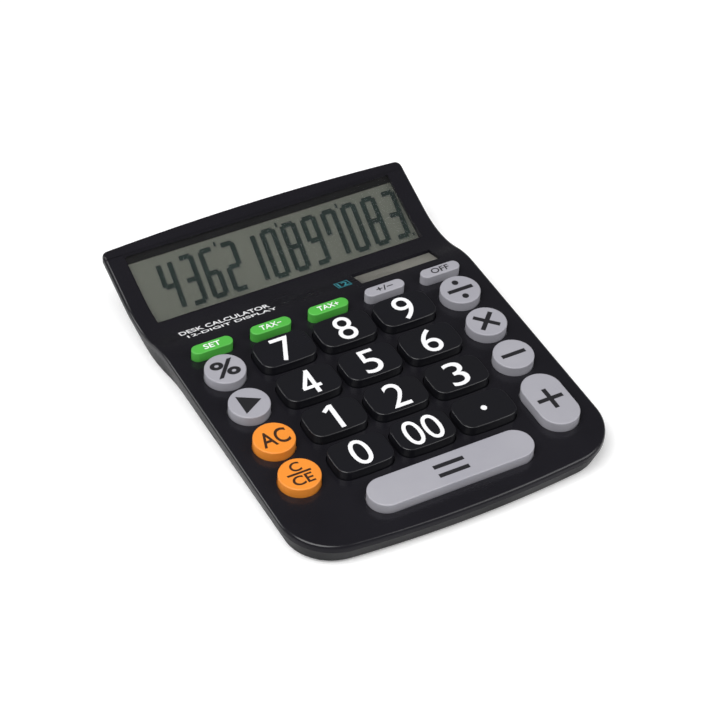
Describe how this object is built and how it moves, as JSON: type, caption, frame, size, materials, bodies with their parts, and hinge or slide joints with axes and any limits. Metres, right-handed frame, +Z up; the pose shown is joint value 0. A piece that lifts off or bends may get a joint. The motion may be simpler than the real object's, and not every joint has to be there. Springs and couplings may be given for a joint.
{
  "type": "desk calculator",
  "caption": "Large-key desk calculator with sloped key deck, raised display head, solar strip, colour-coded push keys and a sliding battery door underneath.",
  "frame": {"origin": "middle of the bounding box, on the table plane under the rubber feet", "axes": "+X to the right of the user, +Y from the front edge to the display, +Z up"},
  "size_m": [0.126, 0.1678, 0.0305],
  "materials": {
    "shell": "glossy black",
    "black_key": "satin black",
    "grey_key": "satin grey",
    "orange_key": "satin orange",
    "green_key": "satin green",
    "clear_lens": "clear",
    "inner_plastic": "matte black",
    "display": "grey-green liquid crystal display",
    "foil": "matt foil",
    "ribbon": "amber film",
    "solar": "dark amorphous cell",
    "board": "green laminate",
    "steel": "zinc plated",
    "resin": "black resin",
    "silicone": "translucent silicone",
    "wire": "insulated wire",
    "cell_can": "nickel plated can",
    "contact": "plated spring strip",
    "foot_rubber": "soft black"
  },
  "bodies": {
    "case": {"top_shell": "shell", "bottom_shell": "shell", "display_lens": "clear_lens", "display_frame": "inner_plastic", "display_glass": "display", "display_reflector": "foil", "display_ribbon": "ribbon", "solar_lens": "clear_lens", "solar_cell": "solar", "circuit_board": "board", "board_screws": "steel", "processor": "resin", "board_parts": "resin", "dome_sheet": "silicone", "battery_wires": "wire", "solar_wires": "wire", "button_cell": "cell_can", "contact_minus": "contact", "contact_plus": "contact", "case_screws": "steel", "rubber_feet": "foot_rubber"},
    "battery_door_body": {"battery_door": "shell"},
    "key_seven_body": {"key_seven": "black_key"},
    "key_eight_body": {"key_eight": "black_key"},
    "key_nine_body": {"key_nine": "black_key"},
    "key_four_body": {"key_four": "black_key"},
    "key_five_body": {"key_five": "black_key"},
    "key_six_body": {"key_six": "black_key"},
    "key_one_body": {"key_one": "black_key"},
    "key_two_body": {"key_two": "black_key"},
    "key_three_body": {"key_three": "black_key"},
    "key_zero_body": {"key_zero": "black_key"},
    "key_double_zero_body": {"key_double_zero": "black_key"},
    "key_point_body": {"key_point": "black_key"},
    "key_percent_body": {"key_percent": "grey_key"},
    "key_play_body": {"key_play": "grey_key"},
    "key_divide_body": {"key_divide": "grey_key"},
    "key_times_body": {"key_times": "grey_key"},
    "key_minus_body": {"key_minus": "grey_key"},
    "key_plus_body": {"key_plus": "grey_key"},
    "key_equals_body": {"key_equals": "grey_key"},
    "key_sign_body": {"key_sign": "grey_key"},
    "key_off_body": {"key_off": "grey_key"},
    "key_all_clear_body": {"key_all_clear": "orange_key"},
    "key_clear_entry_body": {"key_clear_entry": "orange_key"},
    "key_set_body": {"key_set": "green_key"},
    "key_tax_minus_body": {"key_tax_minus": "green_key"},
    "key_tax_plus_body": {"key_tax_plus": "green_key"}
  },
  "joints": [
    {"name": "key_seven_press", "type": "slide", "parent": "case", "child": "key_seven_body", "axis": [0, 0.0872, -0.9962], "range_m": [0, 0.0015], "stiffness_N_per_m": 400, "springref_m": -0.0005, "deforming": ["dome_sheet"]},
    {"name": "key_eight_press", "type": "slide", "parent": "case", "child": "key_eight_body", "axis": [0, 0.0872, -0.9962], "range_m": [0, 0.0015], "stiffness_N_per_m": 400, "springref_m": -0.0005, "deforming": ["dome_sheet"]},
    {"name": "key_nine_press", "type": "slide", "parent": "case", "child": "key_nine_body", "axis": [0, 0.0872, -0.9962], "range_m": [0, 0.0015], "stiffness_N_per_m": 400, "springref_m": -0.0005, "deforming": ["dome_sheet"]},
    {"name": "key_four_press", "type": "slide", "parent": "case", "child": "key_four_body", "axis": [0, 0.0872, -0.9962], "range_m": [0, 0.0015], "stiffness_N_per_m": 400, "springref_m": -0.0005, "deforming": ["dome_sheet"]},
    {"name": "key_five_press", "type": "slide", "parent": "case", "child": "key_five_body", "axis": [0, 0.0872, -0.9962], "range_m": [0, 0.0015], "stiffness_N_per_m": 400, "springref_m": -0.0005, "deforming": ["dome_sheet"]},
    {"name": "key_six_press", "type": "slide", "parent": "case", "child": "key_six_body", "axis": [0, 0.0872, -0.9962], "range_m": [0, 0.0015], "stiffness_N_per_m": 400, "springref_m": -0.0005, "deforming": ["dome_sheet"]},
    {"name": "key_one_press", "type": "slide", "parent": "case", "child": "key_one_body", "axis": [0, 0.0872, -0.9962], "range_m": [0, 0.0015], "stiffness_N_per_m": 400, "springref_m": -0.0005, "deforming": ["dome_sheet"]},
    {"name": "key_two_press", "type": "slide", "parent": "case", "child": "key_two_body", "axis": [0, 0.0872, -0.9962], "range_m": [0, 0.0015], "stiffness_N_per_m": 400, "springref_m": -0.0005, "deforming": ["dome_sheet"]},
    {"name": "key_three_press", "type": "slide", "parent": "case", "child": "key_three_body", "axis": [0, 0.0872, -0.9962], "range_m": [0, 0.0015], "stiffness_N_per_m": 400, "springref_m": -0.0005, "deforming": ["dome_sheet"]},
    {"name": "key_zero_press", "type": "slide", "parent": "case", "child": "key_zero_body", "axis": [0, 0.0872, -0.9962], "range_m": [0, 0.0015], "stiffness_N_per_m": 400, "springref_m": -0.0005, "deforming": ["dome_sheet"]},
    {"name": "key_double_zero_press", "type": "slide", "parent": "case", "child": "key_double_zero_body", "axis": [0, 0.0872, -0.9962], "range_m": [0, 0.0015], "stiffness_N_per_m": 400, "springref_m": -0.0005, "deforming": ["dome_sheet"]},
    {"name": "key_point_press", "type": "slide", "parent": "case", "child": "key_point_body", "axis": [0, 0.0872, -0.9962], "range_m": [0, 0.0015], "stiffness_N_per_m": 400, "springref_m": -0.0005, "deforming": ["dome_sheet"]},
    {"name": "key_percent_press", "type": "slide", "parent": "case", "child": "key_percent_body", "axis": [0, 0.0872, -0.9962], "range_m": [0, 0.0015], "stiffness_N_per_m": 400, "springref_m": -0.0005, "deforming": ["dome_sheet"]},
    {"name": "key_play_press", "type": "slide", "parent": "case", "child": "key_play_body", "axis": [0, 0.0872, -0.9962], "range_m": [0, 0.0015], "stiffness_N_per_m": 400, "springref_m": -0.0005, "deforming": ["dome_sheet"]},
    {"name": "key_divide_press", "type": "slide", "parent": "case", "child": "key_divide_body", "axis": [0, 0.0872, -0.9962], "range_m": [0, 0.0015], "stiffness_N_per_m": 400, "springref_m": -0.0005, "deforming": ["dome_sheet"]},
    {"name": "key_times_press", "type": "slide", "parent": "case", "child": "key_times_body", "axis": [0, 0.0872, -0.9962], "range_m": [0, 0.0015], "stiffness_N_per_m": 400, "springref_m": -0.0005, "deforming": ["dome_sheet"]},
    {"name": "key_minus_press", "type": "slide", "parent": "case", "child": "key_minus_body", "axis": [0, 0.0872, -0.9962], "range_m": [0, 0.0015], "stiffness_N_per_m": 400, "springref_m": -0.0005, "deforming": ["dome_sheet"]},
    {"name": "key_plus_press", "type": "slide", "parent": "case", "child": "key_plus_body", "axis": [0, 0.0872, -0.9962], "range_m": [0, 0.0015], "stiffness_N_per_m": 400, "springref_m": -0.0005, "deforming": ["dome_sheet"]},
    {"name": "key_equals_press", "type": "slide", "parent": "case", "child": "key_equals_body", "axis": [0, 0.0872, -0.9962], "range_m": [0, 0.0015], "stiffness_N_per_m": 400, "springref_m": -0.0005, "deforming": ["dome_sheet"]},
    {"name": "key_sign_press", "type": "slide", "parent": "case", "child": "key_sign_body", "axis": [0, 0.0872, -0.9962], "range_m": [0, 0.0015], "stiffness_N_per_m": 400, "springref_m": -0.0005, "deforming": ["dome_sheet"]},
    {"name": "key_off_press", "type": "slide", "parent": "case", "child": "key_off_body", "axis": [0, 0.0872, -0.9962], "range_m": [0, 0.0015], "stiffness_N_per_m": 400, "springref_m": -0.0005, "deforming": ["dome_sheet"]},
    {"name": "key_all_clear_press", "type": "slide", "parent": "case", "child": "key_all_clear_body", "axis": [0, 0.0872, -0.9962], "range_m": [0, 0.0015], "stiffness_N_per_m": 400, "springref_m": -0.0005, "deforming": ["dome_sheet"]},
    {"name": "key_clear_entry_press", "type": "slide", "parent": "case", "child": "key_clear_entry_body", "axis": [0, 0.0872, -0.9962], "range_m": [0, 0.0015], "stiffness_N_per_m": 400, "springref_m": -0.0005, "deforming": ["dome_sheet"]},
    {"name": "key_set_press", "type": "slide", "parent": "case", "child": "key_set_body", "axis": [0, 0.0872, -0.9962], "range_m": [0, 0.0015], "stiffness_N_per_m": 400, "springref_m": -0.0005, "deforming": ["dome_sheet"]},
    {"name": "key_tax_minus_press", "type": "slide", "parent": "case", "child": "key_tax_minus_body", "axis": [0, 0.0872, -0.9962], "range_m": [0, 0.0015], "stiffness_N_per_m": 400, "springref_m": -0.0005, "deforming": ["dome_sheet"]},
    {"name": "key_tax_plus_press", "type": "slide", "parent": "case", "child": "key_tax_plus_body", "axis": [0, 0.0872, -0.9962], "range_m": [0, 0.0015], "stiffness_N_per_m": 400, "springref_m": -0.0005, "deforming": ["dome_sheet"]},
    {"name": "battery_door_slide", "type": "slide", "parent": "case", "child": "battery_door_body", "axis": [0, 1, 0], "range_m": [0, 0.006]}
  ]
}
